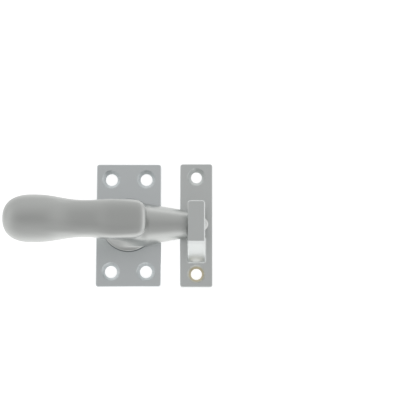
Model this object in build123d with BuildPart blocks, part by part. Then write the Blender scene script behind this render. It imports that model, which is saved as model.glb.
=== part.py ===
"""Casement fastener: a lever turns on a base plate, and its nose goes under the hook of a keeper.

The origin is on the pivot's axis, in the plane of the backs. +X points to the keeper, +Y to the
open end of its hook, and +Z away from the window frame. Lengths are in millimetres.
"""
from build123d import *

import os
from math import atan2, cos, degrees, pi, radians, sin

# Base plate, with four countersunk screw holes
base_width = 31.75
base_height = 60.3
base_thickness = 3.2
base_hole_spacing_x = 17.1
base_hole_spacing_y = 45.4
base_hole = 5.8
base_sink = 9.1

# Keeper plate, with two countersunk screw holes
keeper_gap = 9.3
keeper_width = 15.9
keeper_height = 60.8
keeper_thickness = 3.0
keeper_hole_spacing = 47.7
keeper_hole = 5.3
keeper_sink = 8.9

# Both plates
plate_corner = 1.3
plate_edge = 0.35
sink_angle = 82

# Hook of the keeper, cast with its plate
hook_width = 8.4
hook_thickness = 4.0
hook_open_end = 10.4
hook_root = 10.6
hook_foot = 18.4
hook_shoulder = 1.5
hook_hollow = 0.5
hook_corner = 1.5
hook_edge = 0.75
hook_foot_flare = 0.8
hook_pocket_corner = 2.0
hook_lead_in = 0.9

# Hub and spigot of the lever
hub_radius = 13.0
hub_rim = 1.5
spigot_diameter = 9.5

# Post of the lever: a waist under the head, then a conical skirt that spreads to its foot on the hub
waist_half_width = 7.2
waist_front = 8.2
waist_back = 8.0
waist_squareness = 2.5
foot_half_width = 11.3
foot_front = 11.9
foot_back = 12.5
foot_squareness = 2.4
skirt_height = 4.2
skirt_fillet = 2.0

# Head of the lever
head_front = 9.9
head_half_width = 9.3
head_squareness = 3.5
head_top = 34.2
head_corner = 17

# Grip and neck of the lever
grip_reach = 57.2
bulb_end_length = 13.9
bulb_end_fullness = 2.45
bulb_radius = 11.15
bulb_height = 30.5
neck_half_width = 8.68
neck_half_depth = 6.7
neck_height = 29.6
neck_squareness = 2.6
arch_radius = 8.8
arch_reach = 18.0

# Nose of the lever, turned about a line along X
nose_reach = 38.9
nose_end_reach = 36.7
nose_end_radius = 3.5
nose_bend_reach = 24.9
nose_bend_radius = 7.2
nose_waist_reach = 15.7
nose_waist_radius = 8.85
nose_root_reach = 8.2
nose_root_radius = 10.2
nose_root_slope = 0.35
nose_back = 4.0
nose_height = 7.0
nose_underside = 4.6

# Spring washer, retaining washer and pivot screw
spring_outer = 16.0
spring_inner = 10.4
spring_thickness = 0.3
recess_depth = 0.4
web_thickness = 1.0
retaining_outer = 14.0
retaining_thickness = 0.7
screw_diameter = 4.0
screw_reach = 7.5
screw_hole_spare = 1.0
screw_head_diameter = 8.0
screw_slot_width = 1.2
screw_slot_depth = 0.4

# Clearances
hub_gap = 0.25
spigot_gap = 0.05
latch_gap = 0.3
washer_gap = 0.05
rim_gap = 0.5
thread_gap = 0.03
back_gap = 0.15

# Levels and places that follow from the sizes
hub_underside = base_thickness + hub_gap
hub_top = hub_underside + hub_rim
recess_floor = base_thickness - recess_depth
web_underside = recess_floor - web_thickness
spigot_end = web_underside - washer_gap
retaining_underside = spigot_end - retaining_thickness
keeper_x = base_width / 2 + keeper_gap + keeper_width / 2
arch_x = -arch_reach
arch_z = neck_height - neck_half_depth - arch_radius
bulb_x = bulb_end_length - grip_reach


def ease(start, end, share):
    """A smooth change from start to end: half a cosine wave, flat at both ends."""
    share = min(max(share, 0), 1)
    return start + (end - start) * (1 - cos(pi * share)) / 2


def section_sides(half_width, half_depth, squareness):
    """Control points of the four sides of a rounded section, each from one corner to the next.

    The corners lie where those of a superellipse do. Squareness 2 gives an ellipse, and a
    larger one gives squarer corners and flatter sides.
    """
    corner = 2 ** (-1 / squareness)
    handle = 4 / 3 * (1 - corner)
    points = [
        (corner, -corner),
        (corner + handle, handle - corner),
        (corner + handle, corner - handle),
        (corner, corner),
    ]
    sides = []
    for _ in range(4):
        sides.append([(half_width * across, half_depth * along) for across, along in points])
        points = [(-along, across) for across, along in points]
    return sides


with BuildPart() as base_plate:
    with BuildSketch():
        RectangleRounded(base_width, base_height, plate_corner)
    extrude(amount=base_thickness)
    chamfer(base_plate.faces().sort_by(Axis.Z)[-1].outer_wire().edges(), plate_edge)
    with Locations((0, 0, base_thickness)):
        with GridLocations(base_hole_spacing_x, base_hole_spacing_y, 2, 2):
            CounterSinkHole(base_hole / 2, base_sink / 2, counter_sink_angle=sink_angle)
    # Recess for the spring washer, bore for the spigot, and counterbore for the retaining washer
    with BuildSketch(Plane.XY.offset(recess_floor)):
        Circle(spring_outer / 2 + rim_gap)
    extrude(amount=recess_depth, mode=Mode.SUBTRACT)
    with BuildSketch():
        Circle(spigot_diameter / 2 + spigot_gap)
    extrude(amount=base_thickness, mode=Mode.SUBTRACT)
    with BuildSketch():
        Circle(retaining_outer / 2 + rim_gap)
    extrude(amount=web_underside, mode=Mode.SUBTRACT)


# The lever's cross-sections, from the grip's end to the hub: plane, half width, half depth, squareness
sections = []

# Round end of the grip, upright sections. Each turn goes from the tip, at 0, towards the bulb, at 90.
bulb_turns = (3, 9, 17, 27, 39, 53, 70)
for turn in bulb_turns:
    step_in = bulb_end_length * (1 - cos(radians(turn)) ** (2 / bulb_end_fullness))
    radius = bulb_radius * sin(radians(turn)) ** (2 / bulb_end_fullness)
    upright = Plane(origin=(-grip_reach + step_in, 0, bulb_height), x_dir=(0, 1, 0), z_dir=(1, 0, 0))
    sections.append((upright, radius, radius, 2))

# Taper from the bulb to the neck, upright sections
taper_sections = 8
for step in range(taper_sections):
    share = step / taper_sections
    place = (bulb_x + (arch_x - bulb_x) * share, 0, ease(bulb_height, neck_height, share))
    upright = Plane(origin=place, x_dir=(0, 1, 0), z_dir=(1, 0, 0))
    half_width = ease(bulb_radius, neck_half_width, share)
    half_depth = ease(bulb_radius, neck_half_depth, share)
    sections.append((upright, half_width, half_depth, ease(2, neck_squareness, share)))

# Bend over the arch, sections that fan out from the arch's centre, closest at the head's corner.
# A share of 1 is the turn to that corner, and the last shares lead into the waist.
head_reach = head_front - arch_x
neck_rise = neck_height + neck_half_depth - arch_z
head_rise = head_top - arch_z
corner_turn = degrees(atan2(head_reach, head_rise))
quarter_turn_share = 90 / corner_turn
head_shares = (0, 0.19, 0.37, 0.54, 0.69, 0.8, 0.89, 0.96, 1.02, 1.08, 1.17, 1.3, 1.47)
head_starts = 0.7
head_ends = 0.95
for share in head_shares:
    turn = radians(corner_turn * share)
    to_head = share / head_starts
    to_waist = (share - head_ends) / (quarter_turn_share - head_ends)
    rise = ease(neck_rise, head_rise, to_head)
    reach = ease(head_reach, waist_front - arch_x, to_waist)
    inner = ease(arch_radius, -waist_back - arch_x, to_waist)
    outer = (cos(turn) / rise) ** head_corner + (sin(turn) / reach) ** head_corner
    outer = outer ** (-1 / head_corner)
    middle = (inner + outer) / 2
    place = (arch_x + middle * sin(turn), 0, arch_z + middle * cos(turn))
    fanned = Plane(origin=place, x_dir=(0, 1, 0), z_dir=(cos(turn), 0, -sin(turn)))
    half_width = ease(ease(neck_half_width, head_half_width, to_head), waist_half_width, to_waist)
    squareness = ease(ease(neck_squareness, head_squareness, to_head), waist_squareness, 2 * to_waist)
    sections.append((fanned, half_width, (outer - inner) / 2, squareness))

# Waist and skirt, level sections at their heights above the hub, from the arch's centre down
skirt_spread = foot_half_width - waist_half_width
skirt_levels = 6
for level in range(skirt_levels):
    height = (arch_z - hub_top) * (1 - level / (skirt_levels - 1))
    cone = skirt_spread * (1 - height / skirt_height)
    fillet_share = max(1 - abs(cone) / skirt_fillet, 0)
    spread = (max(cone, 0) + skirt_fillet / 4 * fillet_share ** 2) / skirt_spread
    front = waist_front + (foot_front - waist_front) * spread
    back = waist_back + (foot_back - waist_back) * spread
    plane = Plane(origin=((front - back) / 2, 0, hub_top + height), x_dir=(0, 1, 0), z_dir=(0, 0, -1))
    half_width = waist_half_width + skirt_spread * spread
    squareness = ease(waist_squareness, foot_squareness, spread)
    sections.append((plane, half_width, (front + back) / 2, squareness))

# Flank of the nose from its widest place, as distances from the pivot and radii
nose_points = [
    (nose_root_reach, nose_root_radius),
    (nose_waist_reach, nose_waist_radius),
    (nose_bend_reach, nose_bend_radius),
    (nose_end_reach, nose_end_radius),
    (nose_reach, 0),
]
nose_headings = ((1, -nose_root_slope), (0, -1))

with BuildPart() as lever:
    # Nose, cut flat underneath outside the hub, with nothing of it below the hub
    with BuildSketch(Plane(origin=(0, 0, nose_height), x_dir=(1, 0, 0), z_dir=(0, -1, 0))):
        with BuildLine():
            Spline(*nose_points, tangents=nose_headings)
            Spline((-nose_back, 0), nose_points[0], tangents=((0, 1), nose_headings[0]))
            Line((-nose_back, 0), (nose_reach, 0))
        make_face()
    revolve(axis=Axis((0, 0, nose_height), (1, 0, 0)))
    with BuildSketch(Plane.XY.offset(nose_underside)):
        Rectangle(4 * nose_reach, 4 * hub_radius)
        Circle(hub_radius, mode=Mode.SUBTRACT)
    extrude(amount=-2 * nose_root_radius, mode=Mode.SUBTRACT)
    with BuildSketch(Plane.XY.offset(hub_underside)):
        Circle(2 * hub_radius)
    extrude(amount=-2 * nose_root_radius, mode=Mode.SUBTRACT)
    # Hub that turns on the plate
    with BuildSketch(Plane.XY.offset(hub_underside)):
        Circle(hub_radius)
    extrude(amount=hub_rim)
    # Grip, neck, head, waist and skirt
    for plane, half_width, half_depth, squareness in sections:
        with BuildSketch(plane):
            with BuildLine():
                for side in section_sides(half_width, half_depth, squareness):
                    Bezier(*side)
            make_face()
    loft()
    # Spigot that turns in the plate's bore, drilled for the pivot screw
    with BuildSketch(Plane.XY.offset(spigot_end)):
        Circle(spigot_diameter / 2)
    extrude(amount=hub_top - spigot_end)
    with BuildSketch(Plane.XY.offset(spigot_end)):
        Circle(screw_diameter / 2 + thread_gap)
    extrude(amount=screw_reach + screw_hole_spare, mode=Mode.SUBTRACT)


# The nose's half width and top where it goes in under the hook
hook_mouth = keeper_x - hook_width / 2
with BuildLine() as nose_flank:
    Spline(*nose_points, tangents=nose_headings)
mouth_line = Axis((hook_mouth, 0, 0), (0, 1, 0))
nose_at_mouth = nose_flank.edge().find_intersection_points(mouth_line)[0].Y
pocket_end = nose_at_mouth + latch_gap
hook_underside = nose_height + nose_at_mouth + latch_gap
hook_top = hook_underside + hook_thickness
near = 0.05


def is_root_rim(edge):
    """The long edges of the hook's root and shoulder, outside the pocket and above the plate."""
    place = edge.center()
    on_side = abs(place.X - keeper_x) > hook_width / 2 - near
    return on_side and place.Y < -pocket_end and keeper_thickness < place.Z - near


def is_foot(edge):
    """The edges where the hook's root meets the keeper's plate."""
    place = edge.center()
    level = abs(place.Z - keeper_thickness) < near
    inside_width = abs(place.X - keeper_x) < hook_width / 2 + near
    return level and inside_width and -hook_foot - near < place.Y < hook_open_end


with BuildPart() as keeper:
    # Hook: its side outline, cast across the plate's width
    with BuildSketch(Plane.YZ.offset(hook_mouth)):
        with BuildLine():
            root_face = (-hook_foot, keeper_thickness), (-hook_root, hook_top - hook_shoulder)
            SagittaArc(*root_face, hook_hollow)
            Polyline(
                root_face[1],
                (-hook_root + hook_shoulder, hook_top),
                (hook_open_end, hook_top),
                (hook_open_end, hook_underside + hook_lead_in),
                (hook_open_end - hook_lead_in, hook_underside),
                (-pocket_end + hook_pocket_corner, hook_underside),
            )
            RadiusArc(
                (-pocket_end + hook_pocket_corner, hook_underside),
                (-pocket_end, hook_underside - hook_pocket_corner),
                hook_pocket_corner,
            )
            Polyline(
                (-pocket_end, hook_underside - hook_pocket_corner),
                (-pocket_end, keeper_thickness),
                root_face[0],
            )
        make_face()
    extrude(amount=hook_width)
    open_end = keeper.faces().sort_by(Axis.Y)[-1]
    fillet(open_end.edges().filter_by(Axis.Z), hook_corner)
    top_rim = keeper.faces().sort_by(Axis.Z)[-1].edges()
    root_rim = keeper.edges().filter_by(is_root_rim)
    fillet(ShapeList(top_rim + root_rim), hook_edge)
    # Plate
    with BuildSketch():
        with Locations((keeper_x, 0)):
            RectangleRounded(keeper_width, keeper_height, plate_corner)
    extrude(amount=keeper_thickness)
    plate_faces = keeper.faces().filter_by(Axis.Z).filter_by_position(Axis.Z, keeper_thickness, keeper_thickness)
    chamfer(plate_faces.sort_by(SortBy.AREA)[-1].outer_wire().edges(), plate_edge)
    fillet(keeper.edges().filter_by(is_foot), hook_foot_flare)
    with Locations((keeper_x, 0, keeper_thickness)):
        with GridLocations(0, keeper_hole_spacing, 1, 2):
            CounterSinkHole(keeper_hole / 2, keeper_sink / 2, counter_sink_angle=sink_angle)


# Dished washer that keeps some drag on the lever
spring_rise = recess_depth + hub_gap - washer_gap
with BuildPart() as spring_washer:
    with BuildSketch(Plane.XZ):
        with BuildLine():
            Polyline(
                (spring_inner / 2, recess_floor + spring_rise),
                (spring_inner / 2, recess_floor + spring_rise - spring_thickness),
                (spring_outer / 2, recess_floor),
                (spring_outer / 2, recess_floor + spring_thickness),
                close=True,
            )
        make_face()
    revolve(axis=Axis.Z)


with BuildPart() as retaining_washer:
    with BuildSketch(Plane.XY.offset(retaining_underside)):
        Circle(retaining_outer / 2)
        Circle(screw_diameter / 2 + thread_gap, mode=Mode.SUBTRACT)
    extrude(amount=retaining_thickness)


with BuildPart() as pivot_screw:
    with BuildSketch(Plane.XY.offset(back_gap)):
        Circle(screw_head_diameter / 2)
    extrude(amount=retaining_underside - back_gap)
    with BuildSketch(Plane.XY.offset(retaining_underside)):
        Circle(screw_diameter / 2)
    extrude(amount=retaining_thickness + screw_reach)
    with BuildSketch(Plane.XY.offset(back_gap)):
        Rectangle(2 * screw_head_diameter, screw_slot_width)
    extrude(amount=screw_slot_depth, mode=Mode.SUBTRACT)


os.makedirs("parts", exist_ok=True)
base_plate.part.label = "base_plate"
export_step(base_plate.part, "parts/base_plate.step")
lever.part.label = "lever"
export_step(lever.part, "parts/lever.step")
keeper.part.label = "keeper"
export_step(keeper.part, "parts/keeper.step")
spring_washer.part.label = "spring_washer"
export_step(spring_washer.part, "parts/spring_washer.step")
retaining_washer.part.label = "retaining_washer"
export_step(retaining_washer.part, "parts/retaining_washer.step")
pivot_screw.part.label = "pivot_screw"
export_step(pivot_screw.part, "parts/pivot_screw.step")
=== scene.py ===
# %% [markdown]
# # A casement fastener in satin chrome
#
# This lesson dresses a small window fastener: a lever that turns on a base plate, and a
# keeper whose hook holds the lever's nose. The real one is cast in brass, linished by hand
# and plated. We look down on it, as a catalogue picture does, lying on white paper.
#
# The solid pieces come from the frame, already at their real size. Blender gives them their
# finish, and it makes the surfaces whose soft, hand-finished form matters most.

import math

import bpy
import numpy as np
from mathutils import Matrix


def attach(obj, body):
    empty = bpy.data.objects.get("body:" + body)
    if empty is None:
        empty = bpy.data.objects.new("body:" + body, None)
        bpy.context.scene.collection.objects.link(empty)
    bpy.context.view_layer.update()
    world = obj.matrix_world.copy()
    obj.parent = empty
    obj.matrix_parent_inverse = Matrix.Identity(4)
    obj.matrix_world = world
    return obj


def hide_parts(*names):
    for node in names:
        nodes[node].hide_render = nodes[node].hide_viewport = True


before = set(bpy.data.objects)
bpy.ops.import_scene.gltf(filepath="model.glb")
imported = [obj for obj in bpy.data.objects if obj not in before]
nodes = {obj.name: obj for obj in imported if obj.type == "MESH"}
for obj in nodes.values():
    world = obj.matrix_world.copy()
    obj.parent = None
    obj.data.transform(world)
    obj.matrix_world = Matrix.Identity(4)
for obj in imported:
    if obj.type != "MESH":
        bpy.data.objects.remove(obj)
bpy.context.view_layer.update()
print("nodes:", sorted(nodes))

# %% [markdown]
# ## Units and colours
#
# Blender works in metres and this object in millimetres, so one name, `MM`, turns one into
# the other. Colours are written as the hex values that a picture program shows. Blender's
# shaders add up light, so they want linear values: below a small threshold the curve is
# straight, and above it it is a power of 2.4.

# %% Units and colours
MM = 0.001


def linear(hex_colour):
    """The linear red, green, blue and alpha of an sRGB hex colour such as "#C0FFEE"."""
    channels = np.array([int(hex_colour[i:i + 2], 16) for i in (1, 3, 5)]) / 255
    curved = ((channels + 0.055) / 1.055) ** 2.4
    straight = channels / 12.92
    return (*np.where(channels > 0.04045, curved, straight), 1.0)


print("mid grey in linear light:", linear("#808080"))

# %% [markdown]
# ## The camera
#
# The picture was taken from about 0.6 m, tipped 8 degrees from straight above, so that the
# sides facing the bottom of the picture just show. The lens follows from the width of what
# is seen at the plates: a picture 400 pixels wide at 0.493 mm each is 197 mm across.

# %% Camera
PICTURE_PIXELS = 400
PIXEL = 0.493 * MM
CAMERA_DISTANCE = 0.600
CAMERA_TILT = math.radians(8)
LOOKS_AT = np.array([34.9, 12.9, 0.0]) * MM
SENSOR_MM = 36.0
NEAREST_SEEN = 0.01

camera_data = bpy.data.cameras.new("camera")
camera_data.sensor_fit = "HORIZONTAL"
camera_data.sensor_width = SENSOR_MM
camera_data.lens = SENSOR_MM * CAMERA_DISTANCE / (PICTURE_PIXELS * PIXEL)
camera_data.clip_start = NEAREST_SEEN
camera = bpy.data.objects.new("camera", camera_data)
bpy.context.scene.collection.objects.link(camera)
away = np.array([0.0, -math.sin(CAMERA_TILT), math.cos(CAMERA_TILT)])
camera.location = LOOKS_AT + CAMERA_DISTANCE * away
camera.rotation_euler = (CAMERA_TILT, 0.0, 0.0)
bpy.context.scene.camera = camera
bpy.context.scene.view_settings.view_transform = "Standard"
print("lens, mm:", round(camera_data.lens, 2))

# %% [markdown]
# ## Adding nodes
#
# A material is a small graph. One helper adds a node, sets its properties and its inputs,
# and links the inputs that come from another node, so each material below reads as a list.

# %% One helper for every node


def add(tree, kind, links=None, inputs=None, **settings):
    """Adds a node of a kind; settings are its properties, inputs its values, links its sources."""
    node = tree.nodes.new(kind)
    for name, value in settings.items():
        setattr(node, name, value)
    for name, value in (inputs or {}).items():
        node.inputs[name].default_value = value
    for name, source in (links or {}).items():
        tree.links.new(source, node.inputs[name])
    return node


def new_tree(data):
    """The empty node tree of a new material or world."""
    data.use_nodes = True
    data.node_tree.nodes.clear()
    return data.node_tree


# %% [markdown]
# ## Satin chrome
#
# Satin chrome is bright plate over brass that was brushed before plating. Chrome reflects
# about two thirds of the light, a little bluer than steel, and the brushing spreads each
# reflection, so the metal looks an even, soft grey. A metal gets its colour from the base
# colour and needs no other index of refraction.
#
# The brush marks run along the lever and show as short, faint streaks. A noise stretched
# along X makes them, and a bump node turns it into relief without any extra faces.

# %% Brush marks
BRUSH_SPACING = 0.60 * MM
BRUSH_LENGTH = 14.0 * MM
BRUSH_DEPTH = 0.010 * MM
BRUSH_STRENGTH = 0.5
BRUSH_DETAIL = 3.0
BRUSH_BREAKUP = 0.6


def brush_marks(tree, place):
    """A bump node that lifts the surface in fine streaks along X."""
    stretched = add(
        tree, "ShaderNodeMapping",
        links={"Vector": place.outputs["Object"]},
        inputs={"Scale": (1 / BRUSH_LENGTH, 1 / BRUSH_SPACING, 1 / BRUSH_SPACING)},
    )
    streaks = add(
        tree, "ShaderNodeTexNoise",
        links={"Vector": stretched.outputs["Vector"]},
        inputs={"Scale": 1.0, "Detail": BRUSH_DETAIL, "Roughness": BRUSH_BREAKUP},
    )
    return add(
        tree, "ShaderNodeBump",
        links={"Height": streaks.outputs["Fac"]},
        inputs={"Strength": BRUSH_STRENGTH, "Distance": BRUSH_DEPTH},
    )


print("brush marks, mm:", BRUSH_LENGTH / MM, "long,", BRUSH_SPACING / MM, "apart")

# %% [markdown]
# Hand polish is never quite even. A soft noise in patches some millimetres across makes the
# metal a little rougher here and smoother there, which keeps large faces from looking dead.

# %% Uneven polish
PATCH_SIZE = 6 * MM
PATCH_DETAIL = 2.0
NOISE_LOW = 0.3
NOISE_HIGH = 0.7
ROUGHNESS_VARIES = 0.03


def uneven_polish(tree, place, roughness):
    """A node whose result wanders about the given roughness."""
    clouds = add(
        tree, "ShaderNodeTexNoise",
        links={"Vector": place.outputs["Object"]},
        inputs={"Scale": 1 / PATCH_SIZE, "Detail": PATCH_DETAIL},
    )
    return add(
        tree, "ShaderNodeMapRange",
        links={"Value": clouds.outputs["Fac"]},
        inputs={
            "From Min": NOISE_LOW,
            "From Max": NOISE_HIGH,
            "To Min": roughness - ROUGHNESS_VARIES,
            "To Max": roughness + ROUGHNESS_VARIES,
        },
    )


print("patches of polish, mm:", PATCH_SIZE / MM)

# %% [markdown]
# Brushed metal spreads a reflection mostly across its brush marks. The shader wants that
# direction as a tangent: it lies in the surface and at right angles to the marks, so it is
# the cross product of the surface's normal and the direction of the marks.

# %% The direction across the marks


def across_the_marks(tree):
    """A node that gives the direction in the surface at right angles to the brush marks."""
    surface = add(tree, "ShaderNodeNewGeometry")
    along = add(
        tree, "ShaderNodeVectorTransform",
        vector_type="VECTOR", convert_from="OBJECT", convert_to="WORLD",
        inputs={"Vector": (1, 0, 0)},
    )
    return add(
        tree, "ShaderNodeVectorMath", operation="CROSS_PRODUCT",
        links={0: surface.outputs["Normal"], 1: along.outputs["Vector"]},
    )


# %% [markdown]
# The corner under the hub gets little light, and its shade is painted into the colour: a thin
# dark line on the plate follows the hub's rim, and the hub's lower rim is painted darker too.
# The keeper's lower countersink is worn through to the brass. All three are rings, so one mask
# serves for all: four ramps, over the distance from the ring's axis and over the height,
# multiplied together.

# %% A mask for a ring
RING_FADE = 0.15


def ring_mask(tree, place, ring):
    """A node that gives 1 inside a ring and 0 outside it, with soft edges. The ring's sizes are in mm."""
    moved = add(
        tree, "ShaderNodeVectorMath", operation="SUBTRACT",
        links={0: place.outputs["Object"]},
        inputs={1: (ring["centre"][0] * MM, ring["centre"][1] * MM, 0)},
    )
    level = add(
        tree, "ShaderNodeVectorMath", operation="MULTIPLY",
        links={0: moved.outputs["Vector"]}, inputs={1: (1, 1, 0)},
    )
    from_axis = add(tree, "ShaderNodeVectorMath", operation="LENGTH", links={0: level.outputs["Vector"]})
    place_parts = add(tree, "ShaderNodeSeparateXYZ", links={"Vector": place.outputs["Object"]})
    radius = from_axis.outputs["Value"]
    height = place_parts.outputs["Z"]
    ramps = [
        (radius, ring["inner"] - RING_FADE, ring["inner"], 0, 1),
        (radius, ring["outer"], ring["outer"] + RING_FADE, 1, 0),
        (height, ring["bottom"] - RING_FADE, ring["bottom"], 0, 1),
        (height, ring["top"], ring["top"] + RING_FADE, 1, 0),
    ]
    mask = add(tree, "ShaderNodeValue")
    mask.outputs[0].default_value = 1.0
    for source, start, end, before, after in ramps:
        ramp = add(
            tree, "ShaderNodeMapRange",
            links={"Value": source},
            inputs={"From Min": start * MM, "From Max": end * MM, "To Min": before, "To Max": after},
        )
        mask = add(
            tree, "ShaderNodeMath", operation="MULTIPLY",
            links={0: mask.outputs[0], 1: ramp.outputs["Result"]},
        )
    return mask


print("a ring fades out over, mm:", RING_FADE)

# %% [markdown]
# Now the plating itself. The lever, the base plate and the keeper were polished apart, so
# each has a tone of its own, and each a ring: painted shade on the lever's hub and on the plate
# under it, bare brass in the keeper. The node that mixes the two colours has inputs for
# numbers and vectors too: its colours are the inputs 6 and 7 and the output 2.

# %% Satin chrome on brass
FIRST_COLOUR = 6
SECOND_COLOUR = 7
MIXED_COLOUR = 2


def satin_chrome(name, colour, roughness, spread, ring):
    """Satin chrome with brush marks along X. spread is how far they draw reflections out across them."""
    material = bpy.data.materials.new(name)
    tree = new_tree(material)
    place = add(tree, "ShaderNodeTexCoord")
    tone = add(
        tree, "ShaderNodeMix", data_type="RGBA",
        links={"Factor": ring_mask(tree, place, ring).outputs[0]},
        inputs={FIRST_COLOUR: linear(colour), SECOND_COLOUR: linear(ring["colour"])},
    )
    shader = add(
        tree, "ShaderNodeBsdfPrincipled",
        links={
            "Base Color": tone.outputs[MIXED_COLOUR],
            "Roughness": uneven_polish(tree, place, roughness).outputs["Result"],
            "Normal": brush_marks(tree, place).outputs["Normal"],
            "Tangent": across_the_marks(tree).outputs["Vector"],
        },
        inputs={"Metallic": 1.0, "Anisotropic": spread},
    )
    add(tree, "ShaderNodeOutputMaterial", links={"Surface": shader.outputs["BSDF"]})
    return material


# Painted shade: a thin dark ring on the plate round the hub's rim, where the corner under the hub lies in
# shade.
PAINTED_SHADE_UNDER_HUB = {
    "centre": (0, 0), "inner": 12.2, "outer": 13.05, "bottom": 3.1, "top": 3.3, "colour": "#83898C",
}
# Painted shade: the lever's hub is drawn darker at its lower rim, for the shade beside the plate.
HUB_SHADE = {
    "centre": (0, 0), "inner": 12.4, "outer": 14.0, "bottom": 3.4, "top": 4.1, "colour": "#8B9194",
}
BARE_BRASS = {
    "centre": (33.125, -23.85), "inner": 2.0, "outer": 3.6, "bottom": 0.4, "top": 2.7, "colour": "#CDC6B0",
}
lever_chrome = satin_chrome("satin_chrome_on_brass_lever", "#C1C3C1", 0.33, 0.4, HUB_SHADE)
plate_chrome = satin_chrome("satin_chrome_on_brass_plates", "#D9DDDE", 0.34, 0.0, PAINTED_SHADE_UNDER_HUB)
keeper_chrome = satin_chrome("satin_chrome_on_brass_keeper", "#D6D9D8", 0.34, 0.0, BARE_BRASS)
print("nodes in the lever's finish:", len(lever_chrome.node_tree.nodes))

# %% [markdown]
# ## Steel for the hidden pieces
#
# The spring washer is bright spring steel, and the retaining washer and its screw are zinc
# plated. They are stamped and turned, not brushed, so one even roughness is enough.

# %% Plain steel


def plain_steel(name, colour, roughness):
    """Steel with an even finish."""
    material = bpy.data.materials.new(name)
    tree = new_tree(material)
    shader = add(
        tree, "ShaderNodeBsdfPrincipled",
        inputs={"Base Color": linear(colour), "Metallic": 1.0, "Roughness": roughness},
    )
    add(tree, "ShaderNodeOutputMaterial", links={"Surface": shader.outputs["BSDF"]})
    return material


spring_steel = plain_steel("bright_spring_steel", "#A6A9AC", 0.30)
plated_steel = plain_steel("zinc_plated_steel", "#C3C6CA", 0.38)
print("materials:", [material.name for material in bpy.data.materials])

# %% [markdown]
# ## The lever as a field of numbers
#
# The lever was cast and then polished by hand, so its forms flow into each other: the nose
# grows out of the post, and the post spreads onto the hub. Such a form is easily written as
# a field, a function that says for any point about how far away the surface is, with values
# below zero inside the metal. The smaller of two fields joins two forms, and a smooth
# smaller also fills the corner between them, as a casting's fillet does.
#
# First the sizes, in millimetres, with the powers that shape the sections. They are those of
# the solid, apart from four that the brightness of the real one asked for. The head's front
# is 0.4 mm further out and its upper edge rounder, the hub's radius is 0.2 mm smaller, and
# the nose has a slimmer root, with a simple curve for its flank.

# %% Sizes of the grip, the neck and the head, in millimetres
GRIP_REACH = 57.2
BULB_END = 13.9
BULB_FULLNESS = 2.45
BULB_RADIUS = 11.15
BULB_HEIGHT = 30.5
BULB_X = BULB_END - GRIP_REACH
NECK_HALF_WIDTH = 8.68
NECK_HALF_DEPTH = 6.7
NECK_HEIGHT = 29.6
NECK_SQUARENESS = 2.6
ARCH_RADIUS = 8.8
ARCH_X = -18.0
ARCH_Z = NECK_HEIGHT - NECK_HALF_DEPTH - ARCH_RADIUS
HEAD_FRONT = 10.3
HEAD_HALF_WIDTH = 9.3
HEAD_SQUARENESS = 3.5
HEAD_TOP = 34.2
HEAD_CORNER = 11
HEAD_STARTS = 0.7
HEAD_ENDS = 0.95
print("grip's length to the arch, mm:", round(GRIP_REACH + ARCH_X, 2))

# %% Sizes of the post, the hub and the spigot, in millimetres
WAIST_HALF_WIDTH = 7.2
WAIST_FRONT = 8.2
WAIST_BACK = 8.0
WAIST_SQUARENESS = 2.5
FOOT_HALF_WIDTH = 11.3
FOOT_FRONT = 11.9
FOOT_BACK = 12.5
FOOT_SQUARENESS = 2.4
SKIRT_HEIGHT = 4.2
SKIRT_FILLET = 2.0
HUB_RADIUS = 12.8
HUB_UNDERSIDE = 3.45
HUB_TOP = 4.95
SPIGOT_RADIUS = 4.75
SPIGOT_END = 1.75
SCREW_HOLE_RADIUS = 2.03
SCREW_HOLE_TOP = 10.25
print("height of the post above the hub, mm:", round(ARCH_Z - HUB_TOP, 2))

# %% [markdown]
# The nose is a turned form. Its half width follows a cubic, whose four factors go with the
# powers 0 to 3 of the share of the way from its root to its tip. A power closes the tip, and
# another closes the heel, which is hidden in the post.

# %% Sizes of the nose, in millimetres
NOSE_BACK = -4.0
NOSE_ROOT = 8.2
NOSE_REACH = 38.9
NOSE_TIP_STARTS = 29.4
NOSE_TIP_FULLNESS = 2.18
NOSE_HEEL_STARTS = 11.0
NOSE_HEEL_FULLNESS = 1.5
NOSE_FLANK = (9.88, -3.52, -3.65, 2.09)
NOSE_HEIGHT = 7.0
NOSE_UNDERSIDE = 4.6
print("flank's half width at the tip, before the tip closes, mm:", round(sum(NOSE_FLANK), 2))

# %% [markdown]
# The last sizes are the radii over which two forms flow together. The corner under the nose
# is filled generously, and above, where the head's front meets the nose, hardly at all.

# %% Radii of the blends, in millimetres
NOSE_BLEND_BELOW = 4.5
NOSE_BLEND_ABOVE = 1.0
NOSE_BLEND_HEIGHTS = (10.0, 15.0)
EDGE_BLEND = 0.8
HUB_EDGE = 0.3
print("blends round the nose, mm:", NOSE_BLEND_BELOW, "below,", NOSE_BLEND_ABOVE, "above")

# %% [markdown]
# ## Gauges
#
# A gauge compares a point with the form's cross-section there: 1 on the surface, less
# inside, more outside. A cross-section is a superellipse, the sum of two powers. The power
# 2 makes an ellipse, and a larger one squares its corners. Sizes change along the lever by
# a curve that has no bend where it starts and ends. The solid's curve, half a cosine wave,
# bends there at once, and polished metal would show that as a faint line.

# %% A smooth change and a cross-section


def ease(start, end, share):
    """A smooth change from start to end by a fifth-power curve, with no slope or bend at either end."""
    share = np.clip(share, 0, 1)
    return start + (end - start) * share ** 3 * (10 - 15 * share + 6 * share ** 2)


def section(across, up, half_width, half_depth, squareness):
    """The gauge of a superellipse: the shares of its half sizes, to a power, added, then the root."""
    powers = np.abs(across / half_width) ** squareness + np.abs(up / half_depth) ** squareness
    return powers ** (1 / squareness)


print("a circle's gauge at its edge:", section(3.0, 4.0, 5.0, 5.0, 2))

# %% [markdown]
# The grip is a row of upright sections, from the round bulb that fills the hand to the
# squarer neck. One more power rounds off its end.

# %% Grip


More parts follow.
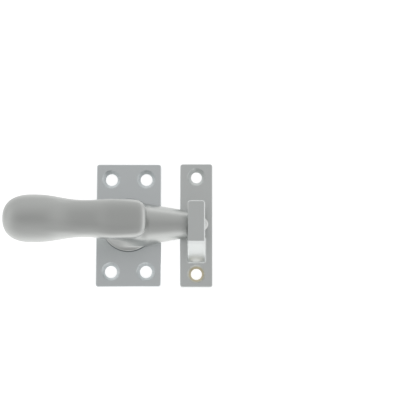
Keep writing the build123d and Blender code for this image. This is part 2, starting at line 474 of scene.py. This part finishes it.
def grip_gauge(x, y, z):
    """Upright sections from the round bulb to the squarer neck, and a power that closes the end."""
    along = (x - BULB_X) / (ARCH_X - BULB_X)
    height = ease(BULB_HEIGHT, NECK_HEIGHT, along)
    half_width = ease(BULB_RADIUS, NECK_HALF_WIDTH, along)
    half_depth = ease(BULB_RADIUS, NECK_HALF_DEPTH, along)
    round_it = section(y, z - height, half_width, half_depth, ease(2, NECK_SQUARENESS, along))
    to_end = np.clip((BULB_X - x) / BULB_END, 0, None)
    return (to_end ** BULB_FULLNESS + round_it ** BULB_FULLNESS) ** (1 / BULB_FULLNESS)


print("gauge at the bulb's end:", grip_gauge(-GRIP_REACH, 0.0, BULB_HEIGHT))

# %% [markdown]
# At the bend the sections fan out from the centre of the arch under the neck, like the
# pages of an open book. Their outer ends trace the head, a rounded box seen from the side.
# Elsewhere this gauge isn't used, so numpy's warnings of a division by zero there are
# harmless.

# %% Bend and head


def bend_gauge(x, y, z):
    """Sections that fan out from the arch's centre. Their outer end follows a rounded box, the head."""
    turn = np.arctan2(x - ARCH_X, z - ARCH_Z)
    head_reach = HEAD_FRONT - ARCH_X
    share = turn / np.arctan2(head_reach, HEAD_TOP - ARCH_Z)
    quarter_turn = np.pi / 2 / np.arctan2(head_reach, HEAD_TOP - ARCH_Z)
    to_head = share / HEAD_STARTS
    to_waist = (share - HEAD_ENDS) / (quarter_turn - HEAD_ENDS)
    rise = ease(NECK_HEIGHT + NECK_HALF_DEPTH - ARCH_Z, HEAD_TOP - ARCH_Z, to_head)
    reach = ease(head_reach, WAIST_FRONT - ARCH_X, to_waist)
    inner = ease(ARCH_RADIUS, -WAIST_BACK - ARCH_X, to_waist)
    upward = np.clip(np.cos(turn), 0, 1) / rise
    forward = np.clip(np.sin(turn), 0, 1) / reach
    outer = (upward ** HEAD_CORNER + forward ** HEAD_CORNER) ** (-1 / HEAD_CORNER)
    from_middle = np.hypot(x - ARCH_X, z - ARCH_Z) - (inner + outer) / 2
    half_width = ease(ease(NECK_HALF_WIDTH, HEAD_HALF_WIDTH, to_head), WAIST_HALF_WIDTH, to_waist)
    squareness = ease(ease(NECK_SQUARENESS, HEAD_SQUARENESS, to_head), WAIST_SQUARENESS, 2 * to_waist)
    return section(y, from_middle, half_width, (outer - inner) / 2, squareness)


print("gauge at the head's front, level with the neck:", bend_gauge(HEAD_FRONT, 0.0, NECK_HEIGHT))

# %% [markdown]
# Below the bend the sections lie level. The post narrows to a waist, and then a cone, the
# skirt, spreads to the foot on the hub.

# %% Post and skirt


def post_gauge(x, y, z):
    """Level sections: a waist, then a cone that spreads to the foot, with a fillet between the two."""
    height = np.clip(z - HUB_TOP, 0, None)
    widening = FOOT_HALF_WIDTH - WAIST_HALF_WIDTH
    cone = widening * (1 - height / SKIRT_HEIGHT)
    fillet_share = np.clip(1 - np.abs(cone) / SKIRT_FILLET, 0, None)
    spread = (np.clip(cone, 0, None) + SKIRT_FILLET / 4 * fillet_share ** 2) / widening
    front = WAIST_FRONT + (FOOT_FRONT - WAIST_FRONT) * spread
    back = WAIST_BACK + (FOOT_BACK - WAIST_BACK) * spread
    from_middle = x - (front - back) / 2
    squareness = ease(WAIST_SQUARENESS, FOOT_SQUARENESS, spread)
    return section(y, from_middle, WAIST_HALF_WIDTH + widening * spread, (front + back) / 2, squareness)


def body_gauge(x, y, z):
    """Grip, bend and post, each in its own region; they agree where the regions meet."""
    beyond_grip = np.where(z < ARCH_Z, post_gauge(x, y, z), bend_gauge(x, y, z))
    return np.where(x < ARCH_X, grip_gauge(x, y, z), beyond_grip)


print("gauge at the waist's front:", body_gauge(WAIST_FRONT, 0.0, ARCH_Z - 1))

# %% [markdown]
# The nose is turned about an axis along X. Beyond its two ends the flank keeps its last
# value, because a cubic runs wild there and would leave a false surface in the grip.

# %% Nose


def nose_gauge(x, y, z):
    """A turned form: a cubic flank, closed at the heel and at the tip by powers."""
    along = (np.clip(x, NOSE_BACK, NOSE_REACH) - NOSE_ROOT) / (NOSE_REACH - NOSE_ROOT)
    flank = sum(factor * along ** power for power, factor in enumerate(NOSE_FLANK))
    radius = np.hypot(y, z - NOSE_HEIGHT) / np.clip(flank, 1, None)
    to_tip = np.clip((x - NOSE_TIP_STARTS) / (NOSE_REACH - NOSE_TIP_STARTS), 0, None)
    to_heel = np.clip((NOSE_HEEL_STARTS - x) / (NOSE_HEEL_STARTS - NOSE_BACK), 0, None)
    tip = (to_tip ** NOSE_TIP_FULLNESS + radius ** NOSE_TIP_FULLNESS) ** (1 / NOSE_TIP_FULLNESS)
    heel = (to_heel ** NOSE_HEEL_FULLNESS + radius ** NOSE_HEEL_FULLNESS) ** (1 / NOSE_HEEL_FULLNESS)
    return np.maximum(tip, heel)


print("gauge at the nose's tip:", nose_gauge(NOSE_REACH, 0.0, NOSE_HEIGHT))

# %% [markdown]
# ## From gauges to one field
#
# Dividing a gauge, less 1, by its slope turns it into a distance, which can be compared
# with the others. The slope is measured with three small steps, one along each axis.

# %% The lever's field
SLOPE_STEP = 0.02
LEAST_SLOPE = 0.001
FARTHEST = 20.0


def distance(gauge, x, y, z):
    """About how far a point is from where the gauge is 1: the gauge less 1, over the gauge's slope."""
    here = gauge(x, y, z)
    slopes = [
        (gauge(x + SLOPE_STEP * i, y + SLOPE_STEP * j, z + SLOPE_STEP * k) - here) / SLOPE_STEP
        for i, j, k in ((1, 0, 0), (0, 1, 0), (0, 0, 1))
    ]
    slope = np.sqrt(sum(part ** 2 for part in slopes))
    return np.clip((here - 1) / np.maximum(slope, LEAST_SLOPE), -FARTHEST, FARTHEST)


def join(a, b, radius):
    """The smaller of two fields, less a quarter of the radius where they are equal, fading out beside it."""
    close = np.clip(radius - np.abs(a - b), 0, None)
    return np.minimum(a, b) - close ** 2 / (4 * radius)


def cut(a, b, radius):
    """What two forms share: the larger of their fields, with the edge rounded over the radius."""
    return -join(-a, -b, radius)


def lever_field(x, y, z):
    """Body, nose, hub and spigot joined, less the hole for the pivot screw."""
    from_axis = np.hypot(x, y)
    body = np.maximum(distance(body_gauge, x, y, z), HUB_UNDERSIDE + EDGE_BLEND / 2 - z)
    nose = cut(distance(nose_gauge, x, y, z), NOSE_UNDERSIDE - z, EDGE_BLEND)
    hub_level = np.abs(z - (HUB_UNDERSIDE + HUB_TOP) / 2) - (HUB_TOP - HUB_UNDERSIDE) / 2
    hub = cut(from_axis - HUB_RADIUS, hub_level, HUB_EDGE)
    spigot = np.maximum(from_axis - SPIGOT_RADIUS, np.maximum(SPIGOT_END - z, z - HUB_TOP))
    hole = np.maximum(from_axis - SCREW_HOLE_RADIUS, z - SCREW_HOLE_TOP)
    low, high = NOSE_BLEND_HEIGHTS
    nose_blend = ease(NOSE_BLEND_BELOW, NOSE_BLEND_ABOVE, (z - low) / (high - low))
    metal = join(join(body, nose, nose_blend), hub, EDGE_BLEND)
    return np.maximum(np.minimum(metal, spigot), -hole)


print("field at the bulb's end, mm:", lever_field(-GRIP_REACH, 0.0, BULB_HEIGHT))

# %% [markdown]
# ## A mesh from a field
#
# Surface nets turn a field into a mesh. Space is divided into small cells. A cell whose
# corners are partly inside and partly outside gets one vertex, and a grid edge that leaves
# the metal gets a face between the four cells round it. The vertices then slide down the
# field's slope onto the surface itself, and a little averaging evens out the net.

# %% Surface nets
CELL = 0.45
BOX_LOW = np.array([-58.2, -13.9, 0.9])
BOX_HIGH = np.array([39.9, 13.9, 42.6])


def surface_net(field, low, high, cell):
    """The middles of the cells that the surface passes through, and the four-sided faces between them."""
    axes = [np.arange(start, end, cell) for start, end in zip(low, high)]
    inside = field(*np.meshgrid(*axes, indexing="ij")) < 0
    corners = sum(
        inside[i:len(axes[0]) - 1 + i, j:len(axes[1]) - 1 + j, k:len(axes[2]) - 1 + k].astype(int)
        for i in (0, 1) for j in (0, 1) for k in (0, 1)
    )
    crossed = (corners > 0) & (corners < 8)
    number = np.full(crossed.shape, -1)
    number[crossed] = np.arange(crossed.sum())
    faces = []
    for order in ((0, 1, 2), (1, 2, 0), (2, 0, 1)):
        turned = number.transpose(order)
        around = [turned[:, :-1, :-1], turned[:, 1:, :-1], turned[:, 1:, 1:], turned[:, :-1, 1:]]
        ring = np.stack(around, axis=-1)
        filled = inside.transpose(order)[:, 1:-1, 1:-1]
        faces.append(ring[filled[:-1] & ~filled[1:]])
        faces.append(ring[~filled[:-1] & filled[1:]][:, ::-1])
    return low + (np.argwhere(crossed) + 0.5) * cell, np.concatenate(faces)


net_points, net_faces = surface_net(lever_field, BOX_LOW, BOX_HIGH, CELL)
print("vertices:", len(net_points), "faces:", len(net_faces))

# %% Onto the surface
LEAST_STEEPNESS = 0.25
FIRST_STEPS = 3
LATER_STEPS = 2
TIMES_EVENED = 2


def slide(field, points, steps):
    """Moves points along the field's slope until the field is zero, by Newton's method."""
    for _ in range(steps):
        here = field(*points.T)
        rises = [field(*(points + SLOPE_STEP * axis).T) - here for axis in np.eye(3)]
        slopes = np.stack(rises, axis=1) / SLOPE_STEP
        steepness = np.maximum((slopes ** 2).sum(axis=1), LEAST_STEEPNESS)
        move = slopes * (here / steepness)[:, None]
        points = points - np.clip(move, -CELL, CELL)
    return points


def even_out(points, faces):
    """Moves each vertex half way to the mean of its neighbours along the faces' edges."""
    starts = faces.ravel()
    ends = np.roll(faces, -1, axis=1).ravel()
    sums = [np.bincount(starts, points[ends, axis], len(points)) for axis in range(3)]
    neighbours = np.bincount(starts, minlength=len(points))
    return (points + np.stack(sums, axis=1) / neighbours[:, None]) / 2


net_points = slide(lever_field, net_points, FIRST_STEPS)
for _ in range(TIMES_EVENED):
    net_points = slide(lever_field, even_out(net_points, net_faces), LATER_STEPS)
print("farthest from the surface, mm:", np.abs(lever_field(*net_points.T)).max())

# %% [markdown]
# ## The lever's skin
#
# The skin is the lever's polished outside. It rides on the lever's body, so it turns with
# it, takes the slot of the lever's finish, and is shown in place of the plain solid.

# %% Lever skin


def new_mesh(name, points, faces, material):
    """An object of a smooth mesh given in millimetres, at the origin, with one material."""
    mesh = bpy.data.meshes.new(name)
    mesh.from_pydata((points * MM).tolist(), [], faces.tolist())
    mesh.shade_smooth()
    mesh.materials.append(material)
    thing = bpy.data.objects.new(name, mesh)
    bpy.context.scene.collection.objects.link(thing)
    return thing


lever_skin = new_mesh("lever_skin", net_points, net_faces, lever_chrome)
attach(lever_skin, "lever")
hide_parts("lever")
print("size of the skin, mm:", (np.array(lever_skin.dimensions) / MM).round(2))

# %% [markdown]
# ## The finish of the solid pieces
#
# The plates and the hidden pieces are shown as the solids they are, each in its own metal.
# A node may come with a slot or without one, so the helper sees to both.

# %% Materials onto the frame's nodes


def dress(node_name, material):
    """Gives a node of the frame one material, in all of its slots."""
    mesh = nodes[node_name].data
    if not mesh.materials:
        mesh.materials.append(material)
    for index in range(len(mesh.materials)):
        mesh.materials[index] = material


METALS = {
    "lever": lever_chrome,
    "base_plate": plate_chrome,
    "keeper": keeper_chrome,
    "spring_washer": spring_steel,
    "retaining_washer": plated_steel,
    "pivot_screw": plated_steel,
}
for node_name, metal in METALS.items():
    dress(node_name, metal)
print("dressed:", len(METALS), "of", len(nodes), "nodes")

# %% [markdown]
# ## White paper
#
# The floor is white paper, a hair below the object so that the two don't flicker into each
# other. The camera sees it a little brighter than it is, so the open paper is pure white
# and the object keeps its soft shadow. Seen in the metal, the paper is a broad soft glow,
# brightest in front of the object and fading with the distance. Its levels were found by
# trial, until the metal was about as bright as the real one looks from above. From below
# the paper is clear, so the backs of the plates can be looked at too.

# %% The floor's mesh
FLOOR_HALF = 2.0
FLOOR_GAP = 0.05 * MM
floor_mesh = bpy.data.meshes.new("paper_floor")
floor_corners = FLOOR_HALF * np.array([[-1, -1, 0], [1, -1, 0], [1, 1, 0], [-1, 1, 0]], float)
floor_mesh.from_pydata(floor_corners.tolist(), [], [(0, 1, 2, 3)])
floor = bpy.data.objects.new("paper_floor", floor_mesh)
floor.location.z = -FLOOR_GAP
bpy.context.scene.collection.objects.link(floor)
print("floor, metres:", list(floor.dimensions))

# %% How the metal sees the paper
PAPER_FRONT = 1.35
PAPER_BACK = 1.15
PAPER_FAR = 0.68
MIDDLE_HALF = 30 * MM
FADE_STARTS = 30 * MM
FADE_ENDS = 150 * MM


def mirrored_level(tree):
    """A node that gives the paper's brightness in a reflection, by its place."""
    place = add(tree, "ShaderNodeTexCoord")
    parts = add(tree, "ShaderNodeSeparateXYZ", links={"Vector": place.outputs["Object"]})
    near = add(
        tree, "ShaderNodeMapRange", interpolation_type="SMOOTHSTEP",
        links={"Value": parts.outputs["Y"]},
        inputs={
            "From Min": -MIDDLE_HALF, "From Max": MIDDLE_HALF, "To Min": PAPER_FRONT, "To Max": PAPER_BACK,
        },
    )
    from_middle = add(
        tree, "ShaderNodeVectorMath", operation="LENGTH", links={0: place.outputs["Object"]},
    )
    fading = add(
        tree, "ShaderNodeMapRange", interpolation_type="SMOOTHSTEP",
        links={"Value": from_middle.outputs["Value"]},
        inputs={"From Min": FADE_STARTS, "From Max": FADE_ENDS, "To Min": 1.0, "To Max": PAPER_FAR},
    )
    return add(
        tree, "ShaderNodeMath", operation="MULTIPLY",
        links={0: near.outputs["Result"], 1: fading.outputs["Result"]},
    )


print("mirrored paper is dimmest from, mm:", FADE_ENDS / MM)

# %% [markdown]
# A light path node tells who asks: the camera, a mirror or the light itself. It chooses
# between the paper as it is, the paper with a glow for the camera, and the soft glow that
# the metal mirrors.

# %% White paper
CAMERA_GLOW = 0.75
WHITE = (1, 1, 1, 1)
PAPER_COLOUR = "#D0D0D0"


def mix(tree, share, first, second):
    """A node that mixes two shaders; share is how much of the second shows."""
    return add(tree, "ShaderNodeMixShader", links={0: share, 1: first, 2: second})


paper = bpy.data.materials.new("white_paper")
tree = new_tree(paper)
path = add(tree, "ShaderNodeLightPath")
lit = add(tree, "ShaderNodeBsdfDiffuse", inputs={"Color": linear(PAPER_COLOUR)})
white = add(tree, "ShaderNodeEmission", inputs={"Color": WHITE, "Strength": CAMERA_GLOW})
camera_view = add(tree, "ShaderNodeAddShader", links={0: lit.outputs["BSDF"], 1: white.outputs["Emission"]})
mirror_view = add(
    tree, "ShaderNodeEmission",
    links={"Strength": mirrored_level(tree).outputs[0]}, inputs={"Color": WHITE},
)
mirrors = add(
    tree, "ShaderNodeMath", operation="MAXIMUM",
    links={0: path.outputs["Is Glossy Ray"], 1: path.outputs["Is Transmission Ray"]},
)
surface = add(tree, "ShaderNodeNewGeometry")
clear = add(tree, "ShaderNodeBsdfTransparent")
seen_by_camera = mix(tree, path.outputs["Is Camera Ray"], lit.outputs["BSDF"], camera_view.outputs["Shader"])
whole = mix(tree, mirrors.outputs[0], seen_by_camera.outputs["Shader"], mirror_view.outputs["Emission"])
one_sided = mix(tree, surface.outputs["Backfacing"], whole.outputs["Shader"], clear.outputs["BSDF"])
add(tree, "ShaderNodeOutputMaterial", links={"Surface": one_sided.outputs["Shader"]})
floor_mesh.materials.append(paper)
print("nodes in the paper:", len(tree.nodes))

# %% [markdown]
# ## A tent of soft light
#
# The world is a tent of soft light, dimmest round the camera, which shades it. That is why
# the flat faces of the fastener look mid grey, and its steep sides almost white. Two terms
# add to the dim level. One grows with the angle from the camera, towards the front or the
# back. The other brightens the tent near the horizon: the fourth power of a direction's
# part to the right, left, back or front, each with a gain.

# %% The level of the sky
CAMERA_LEVEL = 0.48
SKY_GAIN = 0.25
world = bpy.data.worlds.new("light_tent")
bpy.context.scene.world = world
tree = new_tree(world)
direction = add(tree, "ShaderNodeTexCoord")
aside = add(
    tree, "ShaderNodeVectorMath", operation="CROSS_PRODUCT",
    links={0: direction.outputs["Generated"]}, inputs={1: tuple(away)},
)
parts = add(tree, "ShaderNodeSeparateXYZ", links={"Vector": aside.outputs["Vector"]})
from_camera = add(tree, "ShaderNodeMath", operation="ABSOLUTE", links={0: parts.outputs["X"]})
level = add(
    tree, "ShaderNodeMath", operation="MULTIPLY_ADD",
    links={0: from_camera.outputs[0]}, inputs={1: SKY_GAIN, 2: CAMERA_LEVEL},
)
print("sky at the camera:", CAMERA_LEVEL, "and a quarter turn from it:", CAMERA_LEVEL + SKY_GAIN)

# %% The brighter horizon
RIGHT_GAIN = 0.80
LEFT_GAIN = 0.38
BACK_GAIN = 0.05
FRONT_GAIN = 0.05


def to_fourth(tree, vector):
    """A node that raises each part of a vector to the fourth power, by squaring it twice."""
    squared = add(tree, "ShaderNodeVectorMath", operation="MULTIPLY", links={0: vector, 1: vector})
    once = squared.outputs["Vector"]
    return add(tree, "ShaderNodeVectorMath", operation="MULTIPLY", links={0: once, 1: once})


for sign, gains in ((1, (RIGHT_GAIN, BACK_GAIN, 0)), (-1, (LEFT_GAIN, FRONT_GAIN, 0))):
    turned = add(
        tree, "ShaderNodeVectorMath", operation="SCALE",
        links={"Vector": direction.outputs["Generated"]}, inputs={"Scale": sign},
    )
    one_sided = add(
        tree, "ShaderNodeVectorMath", operation="MAXIMUM",
        links={0: turned.outputs["Vector"]}, inputs={1: (0, 0, 0)},
    )
    gained = add(
        tree, "ShaderNodeVectorMath", operation="DOT_PRODUCT",
        links={0: to_fourth(tree, one_sided.outputs["Vector"]).outputs["Vector"]}, inputs={1: gains},
    )
    level = add(
        tree, "ShaderNodeMath", operation="ADD",
        links={0: level.outputs[0], 1: gained.outputs["Value"]},
    )
tent = add(tree, "ShaderNodeBackground", links={"Strength": level.outputs[0]}, inputs={"Color": WHITE})
add(tree, "ShaderNodeOutputWorld", links={"Surface": tent.outputs["Background"]})
print("nodes in the tent:", len(tree.nodes))

# %% [markdown]
# ## Two white cards
#
# In a studio, white cards stand beside a shiny thing, so that its edges have something
# bright to mirror. One stands in front of the fastener and a low one behind it. They are
# brightest at the foot and fade upwards. Only the metal mirrors them: the camera and the
# paper don't see them, and they cast no shadow.

# %% The cards' glow
CARD_GLOW = 1.35
CARD_GLOW_ABOVE = 0.55
GLOW_FADES_FROM = 10 * MM
GLOW_FADES_TO = 100 * MM
card_material = bpy.data.materials.new("white_card")
tree = new_tree(card_material)
place = add(tree, "ShaderNodeTexCoord")
height = add(tree, "ShaderNodeSeparateXYZ", links={"Vector": place.outputs["Object"]})
fading = add(
    tree, "ShaderNodeMapRange",
    links={"Value": height.outputs["Z"]},
    inputs={
        "From Min": GLOW_FADES_FROM,
        "From Max": GLOW_FADES_TO,
        "To Min": CARD_GLOW,
        "To Max": CARD_GLOW_ABOVE,
    },
)
glow = add(tree, "ShaderNodeEmission", links={"Strength": fading.outputs["Result"]}, inputs={"Color": WHITE})
add(tree, "ShaderNodeOutputMaterial", links={"Surface": glow.outputs["Emission"]})
print("card's glow:", CARD_GLOW, "at the foot,", CARD_GLOW_ABOVE, "above")

# %% The cards, in millimetres
CARD_DISTANCE = 110
CARD_RIGHT = 110
FRONT_CARD_LEFT = -13
FRONT_CARD_TOP = 120
BACK_CARD_LEFT = -5
BACK_CARD_TOP = 40


def white_card(name, left, right, across, top):
    """An upright card from left to right, at one place across the scene, standing on the floor."""
    mesh = bpy.data.meshes.new(name)
    corners = np.array([(left, across, 0), (left, across, top), (right, across, top), (right, across, 0)])
    mesh.from_pydata((corners * MM).tolist(), [], [(0, 1, 2, 3)])
    mesh.materials.append(card_material)
    card = bpy.data.objects.new(name, mesh)
    bpy.context.scene.collection.objects.link(card)
    card.visible_camera = False
    card.visible_diffuse = False
    card.visible_shadow = False


white_card("front_card", FRONT_CARD_LEFT, CARD_RIGHT, -CARD_DISTANCE, FRONT_CARD_TOP)
white_card("back_card", BACK_CARD_LEFT, CARD_RIGHT, CARD_DISTANCE, BACK_CARD_TOP)
